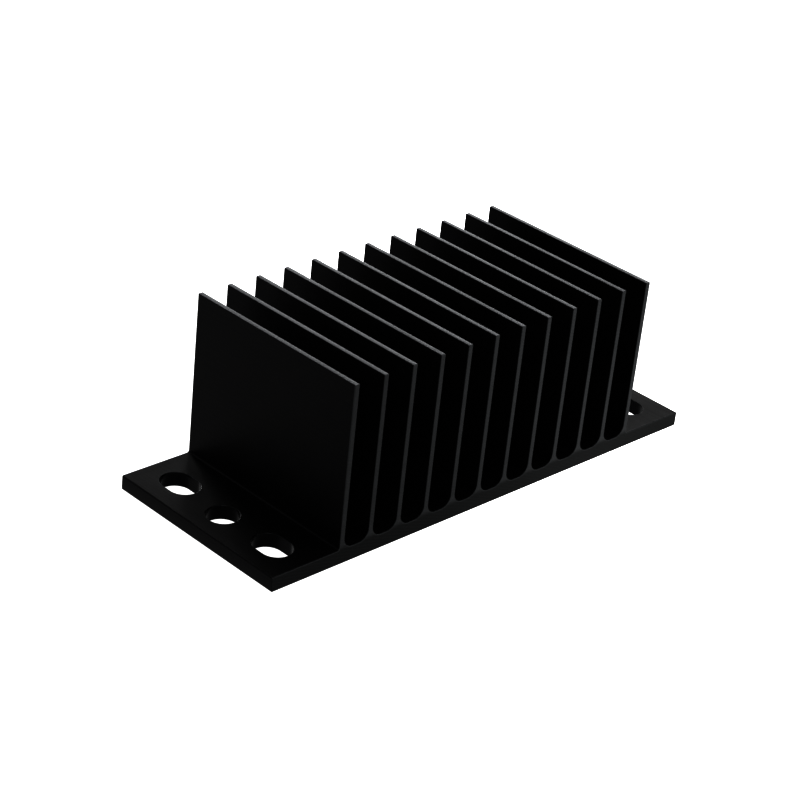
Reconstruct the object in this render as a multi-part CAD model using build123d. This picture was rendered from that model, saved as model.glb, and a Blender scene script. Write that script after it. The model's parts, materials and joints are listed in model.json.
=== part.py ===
from build123d import *
import os

# Finned heat sink that bolts onto the baseplate of a brick power converter. Millimetres.
# The whole object is one length of aluminium extrusion: the die gives its section, a saw cuts
# it to width, and a mill opens the screw holes in the two flanges that the base has past the fins.
# Frame: origin at the middle of the flat underside, X along the base and across the fins,
# Y along the fins, which is the way the metal was extruded, and Z up the fins.

# Base
base_thickness = 1.6
base_width = 22.9  # saw cut to saw cut, along Y
flange_length = 8.46  # from the end of the base to the nearest fin
base_edge_radius = 0.15  # the four long edges of the base, as the die leaves them

# Fins
fin_count = 12
fin_pitch = 3.72
fin_height = 17.9  # above the floor of the gaps
fin_thickness = 0.56
fin_tip_radius = 0.08
gap_root_radius = 1.15  # where a fin runs into the floor of the gap beside it
flange_root_radius = 0.25  # where the first and last fin run into their flanges

# Round screw hole in the middle of each flange
middle_hole_diameter = 3.5
middle_hole_from_end = 3.5

# Two slots in each flange, longer along Y, so that the screws find converters that differ a little
slot_width = 3.4
slot_length = 4.6
slot_from_end = 3.8
slot_from_side = 4.45

# What follows from those sizes
fin_span = (fin_count - 1) * fin_pitch + fin_thickness
base_length = fin_span + 2 * flange_length
gap_width = fin_pitch - fin_thickness
slot_y = base_width / 2 - slot_from_side
corner_tolerance = 0.001


def corners_at(sketch, height):
    """The section's corners at one height, from left to right."""
    low, high = height - corner_tolerance, height + corner_tolerance
    return sketch.vertices().filter_by_position(Axis.Y, low, high).sort_by(Axis.X)


def rounded(wanted, wall):
    """A radius as wanted, or as large as a wall leaves room for."""
    return min(wanted, 0.49 * wall)


def extrusion_section():
    """What comes out of the die: a flat base that carries a comb of plain parallel fins."""
    with BuildSketch(Plane.XZ) as section:
        Rectangle(base_length, base_thickness, align=(Align.CENTER, Align.MIN))
        with GridLocations(fin_pitch, 0, fin_count, 1):
            Rectangle(fin_thickness, base_thickness + fin_height, align=(Align.CENTER, Align.MIN))

        # Between two fins the roots are so full that only a narrow strip of the floor is flat
        at_floor = corners_at(section, base_thickness)
        fillet(at_floor[2:-2], rounded(gap_root_radius, gap_width))

        # The outer roots, on the flanges, are nearly sharp
        at_floor = corners_at(section, base_thickness)
        fillet([at_floor[1], at_floor[-2]], rounded(flange_root_radius, flange_length))

        # Fin tips, then the long edges of the base
        at_tips = corners_at(section, base_thickness + fin_height)
        fillet(at_tips, rounded(fin_tip_radius, fin_thickness))
        at_flange_top = corners_at(section, base_thickness)
        base_edges = [at_flange_top[0], at_flange_top[-1], *corners_at(section, 0)]
        fillet(base_edges, rounded(base_edge_radius, base_thickness))
    return section.sketch


def screw_openings():
    """One flange's round hole and its two slots on the flange's top, mirrored to the other flange."""
    with BuildSketch(Plane.XY.offset(base_thickness)) as openings:
        with Locations((base_length / 2 - middle_hole_from_end, 0)):
            Circle(middle_hole_diameter / 2)
        slot_x = base_length / 2 - slot_from_end
        with Locations((slot_x, -slot_y), (slot_x, slot_y)):
            SlotOverall(slot_length, slot_width, rotation=90)
        mirror(about=Plane.YZ)
    return openings.sketch


def build_heat_sink():
    """The extrusion at its sawn width, with every screw opening cut down through the flanges."""
    with BuildPart() as heat_sink:
        extrude(extrusion_section(), amount=base_width / 2, both=True)
        extrude(screw_openings(), amount=-base_thickness, mode=Mode.SUBTRACT)
    return heat_sink.part


heat_sink = build_heat_sink()
heat_sink.label = "heat_sink"
os.makedirs("parts", exist_ok=True)
export_step(heat_sink, "parts/heat_sink.step")
size = heat_sink.bounding_box().size
print(f"heat_sink: {size.X:.2f} x {size.Y:.2f} x {size.Z:.2f} mm, {heat_sink.volume / 1000:.2f} cm3")
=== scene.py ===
# %% [markdown]
# # A heat sink for a brick power converter
#
# The real object is one length of aluminium extrusion. Hot metal is pushed through a die, which gives a
# flat base with twelve thin fins on it. A saw cuts the long bar to width, a mill opens the screw holes in
# the two flanges past the fins, and the piece is dyed black in an anodising bath.
#
# This lesson goes the same way: the die's outline, the push through the die, the saw cuts, the screw
# openings and the black finish. The broken edges are put on the baked mesh, and the studio comes last.
# Geometry Nodes hold the whole shape but for those edges, because every part of it follows a rule. Before
# all this the packed CAD model is loaded. It is the frame that sizes and places are read from.

# %% Load the packed model
import json
import math

import bpy
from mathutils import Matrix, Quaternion, Vector


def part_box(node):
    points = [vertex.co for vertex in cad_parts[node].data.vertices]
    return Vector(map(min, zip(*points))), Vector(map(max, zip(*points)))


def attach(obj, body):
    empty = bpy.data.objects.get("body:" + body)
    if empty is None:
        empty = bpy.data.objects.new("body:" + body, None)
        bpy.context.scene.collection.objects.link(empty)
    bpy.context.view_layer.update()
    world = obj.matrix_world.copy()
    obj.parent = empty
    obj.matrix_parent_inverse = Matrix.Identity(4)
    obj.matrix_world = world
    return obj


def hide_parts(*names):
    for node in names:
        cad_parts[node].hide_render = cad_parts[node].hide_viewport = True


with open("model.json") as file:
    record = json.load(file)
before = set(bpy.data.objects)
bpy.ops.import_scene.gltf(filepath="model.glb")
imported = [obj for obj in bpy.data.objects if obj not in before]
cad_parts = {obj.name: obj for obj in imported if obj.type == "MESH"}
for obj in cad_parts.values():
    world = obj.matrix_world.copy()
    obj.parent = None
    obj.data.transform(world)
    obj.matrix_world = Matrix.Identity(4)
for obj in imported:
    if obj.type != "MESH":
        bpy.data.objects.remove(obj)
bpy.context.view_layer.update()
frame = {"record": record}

MM = 0.001  # Blender's unit is the metre, and the part's sizes are written in millimetres

# %% [markdown]
# ## Sizes
#
# What the packed model already says is read from it, so that the visible piece can't drift from the solid
# that it stands for: its box gives the length, width and height, and its mounts give the base's thickness
# and the screw openings. Only what those can't tell is written here: how many fins there are, how far
# apart and how thick they are, and how round the die's corners are.

# %% Sizes of the extrusion
low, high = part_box("heat_sink")
base_length = high.x - low.x
base_width = high.y - low.y
total_height = high.z - low.z
mounts = {mount["name"]: mount for mount in frame["record"]["mounts"]}
base_thickness = mounts["slots_left"]["pos_m"][2]

fin_count = 12
fin_pitch = 3.72 * MM
fin_thickness = 0.56 * MM
fin_tip_radius = 0.08 * MM
gap_root_radius = 1.15 * MM
flange_root_radius = 0.25 * MM
base_edge_radius = 0.15 * MM

# How far the first and the last fin stand from the middle
outer_fin = (fin_count - 1) * fin_pitch / 2

bar_size = " x ".join(f"{length / MM:.2f}" for length in (base_length, base_width, total_height))
print(f"{fin_count} fins on a bar of {bar_size} mm, the outermost {outer_fin / MM:.2f} mm from its middle")

# %% Sizes of the screw openings
slots = mounts["slots_right"]
slot_x = slots["pos_m"][0]
slot_y = slots["dims"]["spacing_y_mm"] * MM / 2
slot_width = 2 * slots["dims"]["hole_r_mm"] * MM
slot_length = slots["dims"]["slot_length_mm"] * MM
holes = mounts["middle_holes"]
hole_x = holes["dims"]["spacing_x_mm"] * MM / 2
hole_radius = holes["dims"]["hole_r_mm"] * MM
print(f"slots of {slot_width / MM:.1f} x {slot_length / MM:.1f} mm")
print(f"at x {slot_x / MM:.1f} and y {slot_y / MM:.1f} mm, and mirrored")
print(f"round holes of {2 * hole_radius / MM:.1f} mm at x {hole_x / MM:.1f} mm, and mirrored")

# %% [markdown]
# ## One helper for every node
#
# A node tree can be clicked together or written. Written, each node is one call that says what kind of node
# it is, what goes into its sockets and how its buttons are set. The same helper serves Geometry Nodes and
# materials. Many nodes keep hidden sockets for other data types, so the helper looks only at enabled ones.

# %% The helper
node_step = 180  # how far apart the nodes stand in the editor


def add(tree, kind, inputs=None, **settings):
    """Adds a node. An input is a plain value, or the node or socket that it is linked from."""
    node = tree.nodes.new(kind)
    node.location.x = node_step * len(tree.nodes)
    for name, value in settings.items():
        setattr(node, name, value)
    for key, value in (inputs or {}).items():
        shown = [socket for socket in node.inputs if socket.enabled]
        target = shown[key] if isinstance(key, int) else next(s for s in shown if s.name == key)
        if isinstance(value, bpy.types.Node):
            value = next(socket for socket in value.outputs if socket.enabled)
        if isinstance(value, bpy.types.NodeSocket):
            tree.links.new(value, target)
        else:
            target.default_value = value
    return node


print("add:", add.__doc__)

# %% [markdown]
# ## The tree and its named inputs
#
# A tree that makes a shape is most useful when its sizes are inputs with names: whoever opens the file can
# change the number of fins or a radius in the modifier and see the extrusion follow. The names and values
# are kept together in one table, which first makes the sockets and later fills the modifier.

# %% Start the tree
driving_sizes = {
    "Base Length": base_length,
    "Base Width": base_width,
    "Base Thickness": base_thickness,
    "Total Height": total_height,
    "Fin Count": fin_count,
    "Fin Pitch": fin_pitch,
    "Fin Thickness": fin_thickness,
    "Fin Tip Radius": fin_tip_radius,
    "Gap Root Radius": gap_root_radius,
    "Flange Root Radius": flange_root_radius,
    "Base Edge Radius": base_edge_radius,
    "Hole Radius": hole_radius,
    "Hole X": hole_x,
    "Slot Width": slot_width,
    "Slot Length": slot_length,
    "Slot X": slot_x,
    "Slot Y": slot_y,
}
shape = bpy.data.node_groups.new("finned_extrusion", "GeometryNodeTree")
for name, value in driving_sizes.items():
    kind = "NodeSocketInt" if isinstance(value, int) else "NodeSocketFloat"
    shape.interface.new_socket(name, in_out="INPUT", socket_type=kind)
shape.interface.new_socket("Finish", in_out="INPUT", socket_type="NodeSocketMaterial")
shape.interface.new_socket("Geometry", in_out="OUTPUT", socket_type="NodeSocketGeometry")
size = add(shape, "NodeGroupInput").outputs
print("named inputs:", ", ".join(driving_sizes))

# %% [markdown]
# ## The die's outline, as a rule
#
# The outline is a comb. Walked from right to left, every fin has four corners: root, tip, tip, root. So
# corner number i belongs to fin (i - 2) // 4, and (i - 2) % 4 says which of the four it is. The two ends of
# the base fit the same rule as half a fin each, one before the first and one after the last, whose "tip"
# hangs down to the underside. This is why a Points node and a few maths nodes are enough for the whole comb.
# Right to left is anticlockwise, which is the way round that makes the faces point outwards later.

# %% Which fin a corner belongs to, and which of its four corners it is
corners_per_fin = 4
corners_per_end = 2
corner_number = add(shape, "GeometryNodeInputIndex")
past_end = add(
    shape, "FunctionNodeIntegerMath", {0: corner_number, 1: corners_per_end}, operation="SUBTRACT"
)
fin = add(shape, "FunctionNodeIntegerMath", {0: past_end, 1: corners_per_fin}, operation="DIVIDE_FLOOR")
corner = add(shape, "FunctionNodeIntegerMath", {0: past_end, 1: corners_per_fin}, operation="FLOORED_MODULO")

# A fin's corners are 0 right root, 1 right tip, 2 left tip and 3 left root, so its middle is at 1.5, and
# the tips are the two that lie within 0.6 of it
fin_middle = 1.5
tip_reach = 0.6
is_left = add(shape, "ShaderNodeMath", {0: corner, 1: fin_middle}, operation="GREATER_THAN")
is_tip = add(shape, "ShaderNodeMath", {0: corner, 1: fin_middle, 2: tip_reach}, operation="COMPARE")
print("corners 0 to 6 belong to fins", [(i - corners_per_end) // corners_per_fin for i in range(7)])
print("and are their corners", [(i - corners_per_end) % corners_per_fin for i in range(7)])

# %% How far along the base that corner lies
last_fin = add(shape, "ShaderNodeMath", {0: size["Fin Count"], 1: 1}, operation="SUBTRACT")
middle = add(shape, "ShaderNodeMath", {0: last_fin, 1: 0.5}, operation="MULTIPLY")
fins_out = add(shape, "ShaderNodeMath", {0: middle, 1: fin}, operation="SUBTRACT")
off_fin_middle = add(shape, "ShaderNodeMath", {0: 0.5, 1: is_left}, operation="SUBTRACT")
half_fin = add(shape, "ShaderNodeMath", {0: off_fin_middle, 1: size["Fin Thickness"]}, operation="MULTIPLY")
on_fin_x = add(
    shape, "ShaderNodeMath", {0: fins_out, 1: size["Fin Pitch"], 2: half_fin}, operation="MULTIPLY_ADD"
)

# Past the first and last fin the corner belongs to an end of the base
away = add(shape, "ShaderNodeMath", {0: fins_out}, operation="ABSOLUTE")
half_count = add(shape, "ShaderNodeMath", {0: size["Fin Count"], 1: 0.5}, operation="MULTIPLY")
is_end = add(shape, "ShaderNodeMath", {0: away, 1: half_count}, operation="GREATER_THAN")
which_end = add(shape, "ShaderNodeMath", {0: on_fin_x}, operation="SIGN")
half_length = add(shape, "ShaderNodeMath", {0: size["Base Length"], 1: 0.5}, operation="MULTIPLY")
on_end_x = add(shape, "ShaderNodeMath", {0: which_end, 1: half_length}, operation="MULTIPLY")
corner_x = add(shape, "GeometryNodeSwitch", {0: is_end, 1: on_fin_x, 2: on_end_x}, input_type="FLOAT")
outer_face = outer_fin + fin_thickness / 2
print(f"corners from x {outer_face / MM:.2f} to {-outer_face / MM:.2f} mm on the fins")
print(f"and at {base_length / 2 / MM:.2f} and {-base_length / 2 / MM:.2f} mm on the ends")

# %% How high it lies, and the closed outline of sharp corners
underside = 0.0
tip_height = add(
    shape, "GeometryNodeSwitch", {0: is_end, 1: size["Total Height"], 2: underside}, input_type="FLOAT"
)
corner_height = add(
    shape, "GeometryNodeSwitch", {0: is_tip, 1: size["Base Thickness"], 2: tip_height}, input_type="FLOAT"
)
corner_place = add(shape, "ShaderNodeCombineXYZ", {"X": corner_x, "Y": corner_height})
corner_count = add(
    shape,
    "ShaderNodeMath",
    {0: size["Fin Count"], 1: corners_per_fin, 2: 2 * corners_per_end},
    operation="MULTIPLY_ADD",
)
corners = add(shape, "GeometryNodePoints", {"Count": corner_count, "Position": corner_place})
open_outline = add(shape, "GeometryNodePointsToCurves", {"Points": corners})
sharp_outline = add(shape, "GeometryNodeSetSplineCyclic", {"Geometry": open_outline, "Cyclic": True})
print(f"{corners_per_fin * fin_count + 2 * corners_per_end} sharp corners in one closed outline")

# %% [markdown]
# ## The die's radii
#
# No die has sharp corners. The gaps between the fins end in roots so full that only a strip of their floor
# is flat, which lets the metal flow into thin fins and the heat flow out of the base. The outer roots, on
# the flanges, are nearly sharp, so that a screw head can sit close, and the fins' tips and the base's edges
# are only just rounded. Fillet Curve takes its radius as a field, so one node rounds every corner, each by
# its own kind.

# %% Round each corner by its kind
arc_steps = 8
outer_fin_x = add(shape, "ShaderNodeMath", {0: middle, 1: size["Fin Pitch"]}, operation="MULTIPLY")
corner_away = add(shape, "ShaderNodeMath", {0: on_fin_x}, operation="ABSOLUTE")
is_outer = add(shape, "ShaderNodeMath", {0: corner_away, 1: outer_fin_x}, operation="GREATER_THAN")
root_radius = add(
    shape,
    "GeometryNodeSwitch",
    {0: is_outer, 1: size["Gap Root Radius"], 2: size["Flange Root Radius"]},
    input_type="FLOAT",
)
fin_radius = add(
    shape, "GeometryNodeSwitch", {0: is_tip, 1: root_radius, 2: size["Fin Tip Radius"]}, input_type="FLOAT"
)
corner_radius = add(
    shape, "GeometryNodeSwitch", {0: is_end, 1: fin_radius, 2: size["Base Edge Radius"]}, input_type="FLOAT"
)
outline = add(
    shape,
    "GeometryNodeFilletCurve",
    {"Curve": sharp_outline, "Count": arc_steps, "Radius": corner_radius, "Limit Radius": True},
    mode="POLY",
)
print(f"every corner becomes an arc in {arc_steps} steps")

# %% [markdown]
# ## Through the die, and off with the saw
#
# Curve to Mesh does what the press does: it pushes the outline along a path. The outline lies flat, so the
# path goes straight up, as long as the saw cuts, and a quarter turn then stands the comb on its base. Fill
# Caps leaves the two sawn faces. They get a mark of their own, sawn, because a saw leaves another surface
# than a die does, and the finish needs to tell the two apart.

# %% Extrude, stand upright and mark the sawn faces
half_width = add(shape, "ShaderNodeMath", {0: size["Base Width"], 1: 0.5}, operation="MULTIPLY")
one_cut = add(shape, "ShaderNodeCombineXYZ", {"Z": half_width})
other_cut = add(shape, "ShaderNodeVectorMath", {0: one_cut, "Scale": -1.0}, operation="SCALE")
press_path = add(shape, "GeometryNodeCurvePrimitiveLine", {"Start": other_cut, "End": one_cut})
lying_bar = add(
    shape, "GeometryNodeCurveToMesh", {"Curve": press_path, "Profile Curve": outline, "Fill Caps": True}
)
quarter_turn = (math.pi / 2, 0, 0)
bar = add(shape, "GeometryNodeTransform", {"Geometry": lying_bar, "Rotation": quarter_turn})
face_turn = add(shape, "ShaderNodeSeparateXYZ", {0: add(shape, "GeometryNodeInputNormal")})
along_press = add(shape, "ShaderNodeMath", {0: face_turn.outputs["Y"]}, operation="ABSOLUTE")

# A sawn face's normal points along the press and a die face's across it
nearly_along = 0.9
is_cut = add(shape, "ShaderNodeMath", {0: along_press, 1: nearly_along}, operation="GREATER_THAN")
sawn_bar = add(
    shape,
    "GeometryNodeStoreNamedAttribute",
    {"Geometry": bar, "Name": "sawn", "Value": is_cut},
    data_type="FLOAT",
    domain="FACE",
)
print(f"{base_width / MM:.2f} mm pushed through the die, with a saw cut at either end")

# %% [markdown]
# ## Screw openings
#
# Each flange has one round hole and two short slots, milled straight down. The tools are made once each, a
# round one and a slotted one, and set out as instances: the round one on a line of two points, the slotted
# one on the four corners of a grid. Mesh Boolean then takes them out of the bar. The tools carry a mark,
# milled, and a Boolean hands it on to the walls that they leave.

# %% One round tool and one slotted tool
tool_margin = 1 * MM
round_steps = 64
tool_top = add(shape, "ShaderNodeMath", {0: size["Base Thickness"], 1: tool_margin}, operation="ADD")
tool_end = add(shape, "ShaderNodeCombineXYZ", {"Z": tool_top})
tool_path = add(shape, "GeometryNodeCurvePrimitiveLine", {"Start": (0, 0, -tool_margin), "End": tool_end})
circle = add(
    shape, "GeometryNodeCurvePrimitiveCircle", {"Resolution": round_steps, "Radius": size["Hole Radius"]}
)
round_tool = add(
    shape, "GeometryNodeCurveToMesh", {"Curve": tool_path, "Profile Curve": circle, "Fill Caps": True}
)
slot_block = add(
    shape,
    "GeometryNodeCurvePrimitiveQuadrilateral",
    {"Width": size["Slot Width"], "Height": size["Slot Length"]},
)

# At a full half of the width, the two arcs of a slot's end would meet in a doubled point
nearly_half = 0.4999
slot_end_radius = add(shape, "ShaderNodeMath", {0: size["Slot Width"], 1: nearly_half}, operation="MULTIPLY")
slot_outline = add(
    shape,
    "GeometryNodeFilletCurve",
    {"Curve": slot_block, "Count": round_steps // 4, "Radius": slot_end_radius, "Limit Radius": True},
    mode="POLY",
)
slot_tool = add(
    shape, "GeometryNodeCurveToMesh", {"Curve": tool_path, "Profile Curve": slot_outline, "Fill Caps": True}
)
print(f"tools with {round_steps} steps round, {tool_margin / MM:.0f} mm longer than the base at either end")

# %% Set the tools out and cut with them
hole_place = add(shape, "ShaderNodeCombineXYZ", {"X": size["Hole X"]})
first_hole = add(shape, "ShaderNodeVectorMath", {0: hole_place, "Scale": -1.0}, operation="SCALE")
next_hole = add(shape, "ShaderNodeVectorMath", {0: hole_place, "Scale": 2.0}, operation="SCALE")
hole_points = add(
    shape, "GeometryNodeMeshLine", {"Count": 2, "Start Location": first_hole, "Offset": next_hole}
)
round_tools = add(shape, "GeometryNodeInstanceOnPoints", {"Points": hole_points, "Instance": round_tool})
slots_apart_x = add(shape, "ShaderNodeMath", {0: size["Slot X"], 1: 2}, operation="MULTIPLY")
slots_apart_y = add(shape, "ShaderNodeMath", {0: size["Slot Y"], 1: 2}, operation="MULTIPLY")
slot_points = add(
    shape,
    "GeometryNodeMeshGrid",
    {"Size X": slots_apart_x, "Size Y": slots_apart_y, "Vertices X": 2, "Vertices Y": 2},
)
slot_tools = add(shape, "GeometryNodeInstanceOnPoints", {"Points": slot_points, "Instance": slot_tool})
all_tools = add(shape, "GeometryNodeJoinGeometry", {"Geometry": round_tools})
shape.links.new(slot_tools.outputs["Instances"], all_tools.inputs["Geometry"])
solid_tools = add(shape, "GeometryNodeRealizeInstances", {"Geometry": all_tools})
milled_tools = add(
    shape,
    "GeometryNodeStoreNamedAttribute",
    {"Geometry": solid_tools, "Name": "milled", "Value": 1.0},
    data_type="FLOAT",
    domain="FACE",
)
opened_bar = add(
    shape,
    "GeometryNodeMeshBoolean",
    {"Mesh 1": sawn_bar, "Mesh 2": milled_tools},
    operation="DIFFERENCE",
    solver="EXACT",
)
print("six openings: two round holes and four slots")

# %% End of the tree
realised = add(shape, "GeometryNodeRealizeInstances", {"Geometry": opened_bar})
finished = add(shape, "GeometryNodeSetMaterial", {"Geometry": realised, "Material": size["Finish"]})
add(shape, "NodeGroupOutput", {"Geometry": finished})
print(f"the tree has {len(shape.nodes)} nodes")

# %% [markdown]
# ## Colours
#
# A colour picker shows sRGB values, and a shader wants linear light. One function turns the first into the
# second, so every colour in the script stays a hex value that can be pasted into any picker.

# %% Hex to linear light
def linear(hex_colour):
    """The RGBA that a shader needs for a hex colour, by the curve of the sRGB standard."""
    channels = [int(hex_colour[i : i + 2], 16) / 255 for i in (1, 3, 5)]
    return [c / 12.92 if c <= 0.04045 else ((c + 0.055) / 1.055) ** 2.4 for c in channels] + [1.0]


print("the grey #808080 is", round(linear("#808080")[0], 3), "in linear light")

# %% [markdown]
# ## Black anodised aluminium
#
# Anodising grows a clear oxide skin on the metal, some hundredths of a millimetre thick, and black dye is
# drawn into its pores before it is sealed. The eye sees a deep neutral black with a soft metallic sheen, not
# a gloss: the bar is etched in lye before the bath, which leaves a fine satin grain.
#
# So the shader is a metal of very dark colour with a middling roughness. Three kinds of surface differ in
# what the tools left: long die lines on the extruded faces, shallow arcs from the saw on the two cut faces,
# which are also a little lighter and rougher, and rings on the smoother walls of the milled openings. All
# of it is drawn in Object coordinates, so that each pattern has a size in millimetres.

# %% Where each pattern is read
finish = bpy.data.materials.new("black_anodised_extruded_aluminium")
finish.use_nodes = True
look = finish.node_tree
look.nodes.clear()
place = add(look, "ShaderNodeTexCoord").outputs["Object"]
sawn = add(look, "ShaderNodeAttribute", attribute_name="sawn").outputs["Fac"]
milled = add(look, "ShaderNodeAttribute", attribute_name="milled").outputs["Fac"]
machined = add(look, "ShaderNodeMath", {0: sawn, 1: milled}, operation="MAXIMUM")
as_extruded = add(look, "ShaderNodeMath", {0: 1.0, 1: machined}, operation="SUBTRACT")
print("three kinds of surface: as extruded, sawn and milled")

# %% Die lines and etched grain
# Die lines are some hundredths of a millimetre apart and run the bar's whole length. A picture at ten
# pixels to the millimetre can't show that, so they are drawn 0.3 mm apart.
die_line_spacing = 0.3 * MM
die_line_run = 25 * MM
die_place = add(
    look,
    "ShaderNodeMapping",
    {"Vector": place, "Scale": (die_line_spacing, die_line_run, die_line_spacing)},
    vector_type="TEXTURE",
)
die_lines = add(look, "ShaderNodeTexNoise", {"Vector": die_place, "Scale": 1.0, "Detail": 2.0})

# The etched grain is about 0.05 mm, and is drawn at 0.2 mm for the same reason
grain_size = 0.2 * MM
grain_place = add(
    look, "ShaderNodeMapping", {"Vector": place, "Scale": [grain_size] * 3}, vector_type="TEXTURE"
)
grain = add(look, "ShaderNodeTexNoise", {"Vector": grain_place, "Scale": 1.0, "Detail": 3.0})
print(f"die lines {die_line_spacing / MM:.1f} mm apart, grain of {grain_size / MM:.1f} mm")

# %% Saw arcs and mill rings
# A wave texture has one wave for each 2 pi / 20 of its coordinate
wave_length = 2 * math.pi / 20

# A saw and a mill leave marks of a tenth of a millimetre or less, so these are drawn coarser too. The
# blade's middle is far off, so its marks cross the part as shallow arcs.
saw_blade_centre = (-60 * MM, 0, -150 * MM)
saw_mark_spacing = 0.35 * MM
saw_place = add(
    look,
    "ShaderNodeMapping",
    {"Vector": place, "Location": saw_blade_centre, "Scale": [saw_mark_spacing / wave_length] * 3},
    vector_type="TEXTURE",
)
saw_marks = add(
    look,
    "ShaderNodeTexWave",
    {"Vector": saw_place, "Scale": 1.0, "Distortion": 1.5, "Detail": 2.0, "Detail Scale": 0.3},
    wave_type="RINGS",
    rings_direction="Y",
)
mill_mark_spacing = 0.25 * MM
mill_place = add(
    look,
    "ShaderNodeMapping",
    {"Vector": place, "Scale": [mill_mark_spacing / wave_length] * 3},
    vector_type="TEXTURE",
)
mill_marks = add(
    look,
    "ShaderNodeTexWave",
    {"Vector": mill_place, "Scale": 1.0, "Distortion": 1.0, "Detail": 1.0},
    wave_type="BANDS",
    bands_direction="Z",
)
print(f"saw marks {saw_mark_spacing / MM:.2f} mm apart, mill rings {mill_mark_spacing / MM:.2f} mm apart")

# %% One height for the bump, in micrometres
# Light shows how steep a mark is, not how deep, so marks that are drawn coarser are also drawn deeper
MICROMETRE = 0.001 * MM
die_depth = 8.0
grain_depth = 4.0
saw_depth = 9.0
mill_depth = 3.0
die_height = add(look, "ShaderNodeMath", {0: die_lines, 1: die_depth}, operation="MULTIPLY")
extruded_height = add(look, "ShaderNodeMath", {0: die_height, 1: as_extruded}, operation="MULTIPLY")
saw_height = add(look, "ShaderNodeMath", {0: saw_marks.outputs["Fac"], 1: saw_depth}, operation="MULTIPLY")
mill_height = add(look, "ShaderNodeMath", {0: mill_marks.outputs["Fac"], 1: mill_depth}, operation="MULTIPLY")
with_saw = add(look, "ShaderNodeMath", {0: saw_height, 1: sawn, 2: extruded_height}, operation="MULTIPLY_ADD")
with_mill = add(look, "ShaderNodeMath", {0: mill_height, 1: milled, 2: with_saw}, operation="MULTIPLY_ADD")
height = add(look, "ShaderNodeMath", {0: grain, 1: grain_depth, 2: with_mill}, operation="MULTIPLY_ADD")
bump = add(look, "ShaderNodeBump", {"Height": height, "Distance": MICROMETRE, "Strength": 1.0})
print(f"marks of {mill_depth:.0f} to {saw_depth:.0f} micrometres")

# %% [markdown]
# ## Where the black has worn, and where light is painted with it
#
# Dye holds worst on edges: the skin is thin there, and each handling rubs it. It shows in three places, and
# in each the lighter colour is also painted light. The fins' tips stick out and go grey first, and their grey
# is also a painted highlight on the rounded tips. The fins' cut ends are so thin that they are edge all over,
# so they are lighter than the side of the base below them. That step is also painted reflection and shade:
# the side of the base stays as dark as if it mirrored the shaded floor at the part's foot. And a fine light
# line follows the saw cuts along the fins, the gap floors and the flanges' tops, and the upper rims of the
# screw openings: wear, and a painted highlight along those edges. The edges round the underside and the
# rounded ones at the two ends of the base keep their black.
#
# None of it is drawn in an image. The first kind needs only a point's height, and the second its height and
# the mark that the saw left. The third needs its distance from an edge, and the outline is a rule, so that
# distance is a formula. Ping-pong folds the whole comb onto half a gap. There the outline is a wall and a
# floor with an arc between them, and the distance past it is a length less the arc's radius.

# %% How deep a point of the section lies behind the die's outline
xyz = add(look, "ShaderNodeSeparateXYZ", {0: place})
pattern_end = outer_fin + fin_pitch / 2
off_middle = add(look, "ShaderNodeMath", {0: xyz.outputs["X"]}, operation="ABSOLUTE")
past_fins = add(look, "ShaderNodeMath", {0: off_middle, 1: outer_fin}, operation="GREATER_THAN")
in_pattern = add(look, "ShaderNodeMath", {0: off_middle, 1: pattern_end}, operation="MINIMUM")
from_end = add(look, "ShaderNodeMath", {0: pattern_end, 1: in_pattern}, operation="SUBTRACT")
off_gap = add(look, "ShaderNodeMath", {0: from_end, 1: fin_pitch / 2}, operation="PINGPONG")
in_fin = add(look, "ShaderNodeMath", {0: off_gap, 1: (fin_pitch - fin_thickness) / 2}, operation="SUBTRACT")
in_base = add(look, "ShaderNodeMath", {0: base_thickness, 1: xyz.outputs["Z"]}, operation="SUBTRACT")
root = add(
    look, "ShaderNodeMapRange", {"Value": past_fins, "To Min": gap_root_radius, "To Max": flange_root_radius}
)
depths = add(look, "ShaderNodeCombineXYZ", {"X": in_fin, "Y": in_base})
arc_centre = add(look, "ShaderNodeCombineXYZ", {"X": root, "Y": root})
from_arc_centre = add(look, "ShaderNodeVectorMath", {0: depths, 1: arc_centre}, operation="ADD")
past_arc_centre = add(look, "ShaderNodeVectorMath", {0: from_arc_centre}, operation="MAXIMUM")
arc_reach = add(look, "ShaderNodeVectorMath", {0: past_arc_centre}, operation="LENGTH")
in_metal = add(look, "ShaderNodeMath", {0: arc_reach, 1: root}, operation="SUBTRACT")
print(f"the comb ends {pattern_end / MM:.2f} mm from the middle, and past that is flange")

# %% How far a point of the flanges is from a screw opening
folded = add(look, "ShaderNodeVectorMath", {0: place}, operation="ABSOLUTE")
on_plan = add(look, "ShaderNodeVectorMath", {0: folded, 1: (1, 1, 0)}, operation="MULTIPLY")
from_hole = add(look, "ShaderNodeVectorMath", {0: on_plan, 1: (hole_x, 0, 0)}, operation="DISTANCE")
off_hole = add(look, "ShaderNodeMath", {0: from_hole, 1: hole_radius}, operation="SUBTRACT")
from_slot = add(look, "ShaderNodeVectorMath", {0: on_plan, 1: (slot_x, slot_y, 0)}, operation="SUBTRACT")
slot_folded = add(look, "ShaderNodeVectorMath", {0: from_slot}, operation="ABSOLUTE")
slot_straight = (0, (slot_length - slot_width) / 2, 0)
past_straight = add(look, "ShaderNodeVectorMath", {0: slot_folded, 1: slot_straight}, operation="SUBTRACT")
round_part = add(look, "ShaderNodeVectorMath", {0: past_straight}, operation="MAXIMUM")
from_slot_line = add(look, "ShaderNodeVectorMath", {0: round_part}, operation="LENGTH")
off_slot = add(look, "ShaderNodeMath", {0: from_slot_line, 1: slot_width / 2}, operation="SUBTRACT")
off_opening = add(look, "ShaderNodeMath", {0: off_hole, 1: off_slot}, operation="MINIMUM")
print(f"a slot's straight sides are {(slot_length - slot_width) / MM:.1f} mm long")

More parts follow.
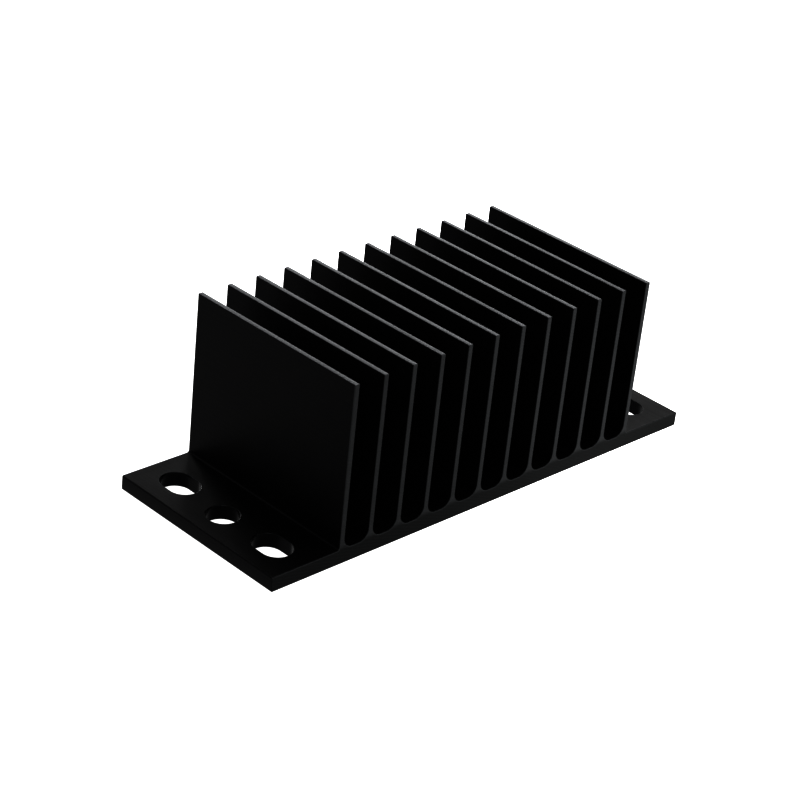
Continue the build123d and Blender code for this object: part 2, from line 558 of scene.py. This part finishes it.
# %% How far any point is from an edge of the saw cuts, and from an opening's rim
def off_edge(off_one_face, off_other_face):
    """The distance to the edge in which two faces meet, from how far a point is off each of them."""
    pair = add(look, "ShaderNodeCombineXYZ", {"X": off_one_face, "Y": off_other_face})
    return add(look, "ShaderNodeVectorMath", {0: pair}, operation="LENGTH").outputs["Value"]


off_middle_y = add(look, "ShaderNodeMath", {0: xyz.outputs["Y"]}, operation="ABSOLUTE")
off_cut = add(look, "ShaderNodeMath", {0: base_width / 2, 1: off_middle_y}, operation="SUBTRACT")
off_cut_edge = off_edge(in_metal, off_cut)
off_rim = off_edge(off_opening, in_base)
print("off_edge:", off_edge.__doc__)

# %% The kinds of wear, and the painted light that goes with each
patchy_noise_size = (1 * MM, 3 * MM, 1 * MM)
least_patchiness = 0.6
most_patchiness = 1.2
patchy_noise_place = add(
    look, "ShaderNodeMapping", {"Vector": place, "Scale": patchy_noise_size}, vector_type="TEXTURE"
)
patchy_noise = add(look, "ShaderNodeTexNoise", {"Vector": patchy_noise_place, "Scale": 1.0, "Detail": 3.0})
patchiness = add(
    look, "ShaderNodeMapRange", {"Value": patchy_noise, "To Min": least_patchiness, "To Max": most_patchiness}
)


def wear_and_painted_light(distance, full, none):
    """Wear, and the painted light that goes with it: full at one distance, gone at another, and patchy."""
    near = add(
        look,
        "ShaderNodeMapRange",
        {"Value": distance, "From Min": full, "From Max": none, "To Min": 1.0, "To Max": 0.0},
        interpolation_type="SMOOTHSTEP",
    )
    return add(look, "ShaderNodeMath", {0: near, 1: patchiness}, operation="MULTIPLY")


below_tip = add(look, "ShaderNodeMath", {0: total_height, 1: xyz.outputs["Z"]}, operation="SUBTRACT")
# The tips' grey is wear, and also a painted highlight on their rounded tops
tip_wear_and_highlight = wear_and_painted_light(below_tip, full=0.01 * MM, none=0.03 * MM)
# Light lines along the cut edges: wear, and also a painted highlight
edge_wear_and_highlight = wear_and_painted_light(off_cut_edge, full=0.04 * MM, none=0.16 * MM)
# Light lines round the upper rims of the openings: wear, and also a painted highlight
rim_wear_and_highlight = wear_and_painted_light(off_rim, full=0.02 * MM, none=0.12 * MM)

# The thin ends are worn down to 0.6 mm above the gap floors, and from there it fades into the base. The
# lighter ends are also a painted reflection: the side of the base stays darker, as if it mirrored shaded
# floor
above_base = wear_and_painted_light(in_base, full=-0.6 * MM, none=0.1 * MM)
thin_end_wear_and_reflection = add(look, "ShaderNodeMath", {0: above_base, 1: sawn}, operation="MULTIPLY")
# Each of these is also painted light: highlights on the tips, cut edges and rims, a reflection on the thin
# ends
print("worn: the tips, the thin cut ends, the cut edges and the rims of the openings")

# %% Colour: the dye, and over it each kind of wear and painted light in turn
dye_patch_size = 8 * MM
dye_place = add(
    look, "ShaderNodeMapping", {"Vector": place, "Scale": [dye_patch_size] * 3}, vector_type="TEXTURE"
)
dye_drift = add(look, "ShaderNodeTexNoise", {"Vector": dye_place, "Scale": 1.0, "Detail": 2.0})
colour = add(
    look,
    "ShaderNodeMix",
    {"Factor": dye_drift, "A": linear("#080809"), "B": linear("#0c0c0d")},
    data_type="RGBA",
)
# The last four are wear and also painted light: highlights on rims, cut edges and tips, reflection on thin
# ends
shades = (
    (sawn, "#191a1a"),
    (thin_end_wear_and_reflection, "#343536"),
    (rim_wear_and_highlight, "#1c1d1e"),
    (edge_wear_and_highlight, "#303132"),
    (tip_wear_and_highlight, "#626365"),
)
for amount, shade in shades:
    colour = add(look, "ShaderNodeMix", {"Factor": amount, "A": colour, "B": linear(shade)}, data_type="RGBA")
print("laid over the dye in turn:", " ".join(shade for amount, shade in shades))

# %% Roughness, and the shader
smoothest_die_line = 0.34
roughest_die_line = 0.46
sawn_roughness = 0.5
milled_roughness = 0.16
roughness = add(
    look,
    "ShaderNodeMapRange",
    {"Value": die_lines, "To Min": smoothest_die_line, "To Max": roughest_die_line},
)
for amount, tool_roughness in ((sawn, sawn_roughness), (milled, milled_roughness)):
    roughness = add(
        look, "ShaderNodeMix", {"Factor": amount, "A": roughness, "B": tool_roughness}, data_type="FLOAT"
    )

# Dye also takes in light that only grazes it, so the glancing shine is held a little below that of bare
# metal. The pores of the skin scatter a trace of light to all sides, which a very faint sheen stands for:
# without it the gaps would be blacker than any real surface is.
metal = add(
    look,
    "ShaderNodeBsdfPrincipled",
    {
        "Base Color": colour,
        "Metallic": 1.0,
        "Roughness": roughness,
        "Normal": bump,
        "Specular Tint": linear("#e5e5e5"),
        "Sheen Weight": 0.006,
        "Sheen Roughness": 0.9,
    },
)
add(look, "ShaderNodeOutputMaterial", {"Surface": metal})
print(f"the material has {len(look.nodes)} nodes")

# %% [markdown]
# ## Make the piece
#
# The tree goes on an empty mesh as a modifier. A modifier's inputs are known by an identifier, not by the
# name that the panel shows, so the name is looked up once. The evaluated result is then copied to a plain
# mesh, because a shared library wants a mesh that any program can open, not a recipe.

# %% Bake the tree to a plain mesh
recipe = bpy.data.objects.new("recipe", bpy.data.meshes.new("recipe"))
bpy.context.scene.collection.objects.link(recipe)
modifier = recipe.modifiers.new("finned_extrusion", "NODES")
modifier.node_group = shape
identifiers = {
    item.name: item.identifier for item in shape.interface.items_tree if item.in_out == "INPUT"
}
for name, value in {**driving_sizes, "Finish": finish}.items():
    modifier[identifiers[name]] = value
evaluated = recipe.evaluated_get(bpy.context.evaluated_depsgraph_get())
mesh = bpy.data.meshes.new_from_object(evaluated)
bpy.data.objects.remove(recipe)
heat_sink = bpy.data.objects.new("heat_sink_extrusion", mesh)
bpy.context.scene.collection.objects.link(heat_sink)
print(f"{len(mesh.vertices)} points and {len(mesh.polygons)} faces")
print("attributes", [attribute.name for attribute in mesh.attributes])

# %% [markdown]
# ## Broken edges
#
# The tumbling and etching before the bath take the burr off every edge that the saw and the mill left. The
# facet is tiny, but no real edge is without one, and it is what catches the light. A Bevel modifier adds it
# on edges of more than 50 degrees, so the die's own arcs are left alone. Hardened normals keep the large
# flat faces flat beside it.

# %% Bevel the cut edges
# A broken edge has to stay narrower than the radius of the tips, or its facets would cross there
broken_edge = 0.05 * MM
bevel_angle = math.radians(50)
sharp_angle = math.radians(40)
bevel = heat_sink.modifiers.new("broken_edges", "BEVEL")
bevel.width = broken_edge
bevel.segments = 2
bevel.limit_method = "ANGLE"
bevel.angle_limit = bevel_angle
bevel.use_clamp_overlap = False
bevel.harden_normals = True
mesh.shade_smooth()
mesh.set_sharp_from_angle(angle=sharp_angle)
print(f"broken edges of {broken_edge / MM:.2f} mm on tips of {fin_tip_radius / MM:.2f} mm radius")

# %% Put it in the frame
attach(heat_sink, "root")
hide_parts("heat_sink")
print("visible piece:", heat_sink.name)

# %% [markdown]
# ## Floor
#
# A large sheet of opal acrylic that glows from below, the table that small black parts are photographed on.
# It sends out most of the light itself, so it stays white in the screw openings and close to the object. Two
# long lamps lie under it on the object's right, one in front and one behind, and point away from it. On the
# blown-out white they don't show, but the cut ends of the fins mirror them, and grow lighter from left to
# right.

# %% Acrylic that glows, more so over the two lamps
floor_gap = 0.02 * MM  # keeps the floor and the underside out of one plane
floor_z = low.z - floor_gap
even_glow = 1.0
lamp_x = 44 * MM
lamp_y = 40 * MM
lamp_turn = math.radians(43.6)
lamp_half_length = 48 * MM
lamp_half_width = 14 * MM
lamp_glow = 2.4
opal = bpy.data.materials.new("lit_opal_acrylic")
opal.use_nodes = True
opal_look = opal.node_tree
opal_look.nodes.clear()
floor_place = add(opal_look, "ShaderNodeTexCoord").outputs["Object"]
glow = even_glow
for side in (-1, 1):
    on_lamp = add(
        opal_look,
        "ShaderNodeMapping",
        {
            "Vector": floor_place,
            "Location": (lamp_x, side * lamp_y, floor_z),
            "Rotation": (0, 0, side * lamp_turn),
            "Scale": (lamp_half_length, lamp_half_width, 1.0),
        },
        vector_type="TEXTURE",
    )

    # A lamp's glow falls off as a bell curve, e to the power of minus its distance squared
    off_lamp = add(opal_look, "ShaderNodeVectorMath", {0: on_lamp}, operation="LENGTH")
    squared = add(opal_look, "ShaderNodeMath", {0: off_lamp, 1: 2.0}, operation="POWER")
    fall = add(opal_look, "ShaderNodeMath", {0: squared, 1: -1.0}, operation="MULTIPLY")
    bell = add(opal_look, "ShaderNodeMath", {0: fall}, operation="EXPONENT")
    glow = add(opal_look, "ShaderNodeMath", {0: bell, 1: lamp_glow, 2: glow}, operation="MULTIPLY_ADD")
acrylic = add(
    opal_look,
    "ShaderNodeBsdfPrincipled",
    {
        "Base Color": linear("#a0a0a0"),
        "Roughness": 0.9,
        "Specular IOR Level": 0.0,
        "Emission Color": linear("#ffffff"),
        "Emission Strength": glow,
    },
)
add(opal_look, "ShaderNodeOutputMaterial", {"Surface": acrylic})
print(f"a glow of {even_glow:.1f}, and {lamp_glow:.1f} more over the middle of each lamp")

# %% The sheet
half_floor = 2.0  # metres
floor_corners = [(half_floor * x, half_floor * y, floor_z) for x, y in ((-1, -1), (1, -1), (1, 1), (-1, 1))]
floor_mesh = bpy.data.meshes.new("floor")
floor_mesh.from_pydata(floor_corners, [], [(0, 1, 2, 3)])
floor_mesh.materials.append(opal)
floor = bpy.data.objects.new("floor", floor_mesh)
bpy.context.scene.collection.objects.link(floor)
print(f"a sheet of {2 * half_floor:.0f} m, {floor_gap / MM:.2f} mm below the part")

# %% [markdown]
# ## Light
#
# A black metal shows little but what it mirrors, so what matters is how bright the surroundings are in the
# direction that each face mirrors. The room is dim. Six soft boxes stand in it, and each is placed by its
# direction from the object, the way a photographer walks a lamp around:
#
# - behind, it is what the flanges and the tips of the fins mirror
# - on the left, the right and in front, three like it do the same for whoever walks round the object
# - above, a wide one takes the edge off the darkest corners
# - low behind on the left, a strong one grazes the left flange and dies away towards the first fin

# %% Dim surroundings
room_strength = 0.4
world = bpy.data.worlds.new("studio")
bpy.context.scene.world = world
world.use_nodes = True
background = world.node_tree.nodes["Background"]
background.inputs["Color"].default_value = linear("#ffffff")
background.inputs["Strength"].default_value = room_strength
print(f"the room sends {room_strength:.1f} from all sides, the floor {even_glow:.1f}")

# %% Six soft boxes
box_distance = 0.6  # metres


def soft_box(name, azimuth, elevation, width, radiance):
    """A square area light that faces the object, placed in degrees from +X and above the floor."""
    turn = math.radians(azimuth)
    lift = math.radians(elevation)
    light = bpy.data.lights.new(name, "AREA")
    light.size = width

    # The power that makes a box of any size equally bright to look at
    light.energy = radiance * math.pi * width**2
    box = bpy.data.objects.new(name, light)
    out = Vector((math.cos(turn) * math.cos(lift), math.sin(turn) * math.cos(lift), math.sin(lift)))
    box.location = box_distance * out
    aim = Vector((0, 0, total_height / 2)) - box.location
    box.rotation_euler = aim.to_track_quat("-Z", "Y").to_euler()
    bpy.context.scene.collection.objects.link(box)
    print(f"{name}: {light.energy:.1f} W")


soft_box("behind", azimuth=42, elevation=17, width=0.2, radiance=5.8)
soft_box("left", azimuth=115, elevation=22, width=0.3, radiance=6)
soft_box("front", azimuth=225, elevation=22, width=0.3, radiance=7)
soft_box("right", azimuth=315, elevation=22, width=0.3, radiance=7)

# Not quite 90 degrees, because a box that looks straight down has no side that is up
soft_box("above", azimuth=0, elevation=88, width=0.4, radiance=3)
soft_box("low_behind_left", azimuth=74, elevation=14, width=0.16, radiance=67)

# %% [markdown]
# ## Camera
#
# A long lens from the left and a little above, turned slightly about its own axis, as the photograph was.

# %% Camera
eye = Vector((-154.3, -144.4, 118.2)) * MM
aim = Vector((-6.2, -3.4, 10.0)) * MM
roll_degrees = 6.23
camera_data = bpy.data.cameras.new("camera")
camera_data.sensor_width = 36.0
camera_data.lens = 104.07
camera_data.clip_start = 0.01
camera_data.clip_end = 10.0
camera = bpy.data.objects.new("camera", camera_data)
camera.location = eye
camera.rotation_mode = "QUATERNION"
level = (aim - eye).to_track_quat("-Z", "Y")
camera.rotation_quaternion = level @ Quaternion((0, 0, 1), math.radians(roll_degrees))
bpy.context.scene.collection.objects.link(camera)
bpy.context.scene.camera = camera
print(f"the camera is {(aim - eye).length / MM:.0f} mm from what it looks at, turned {roll_degrees} degrees")

# %% [markdown]
# ## How the picture is printed
#
# The photograph is printed hard: its white ground is blown out and its shadows are crushed.

# %% View settings
view = bpy.context.scene.view_settings
view.view_transform = "Standard"
view.gamma = 0.6
print(f"{view.view_transform} view with a gamma of {view.gamma:.1f}")

# %% [markdown] ## The end
# The visible model has to stay inside the CAD model's box.
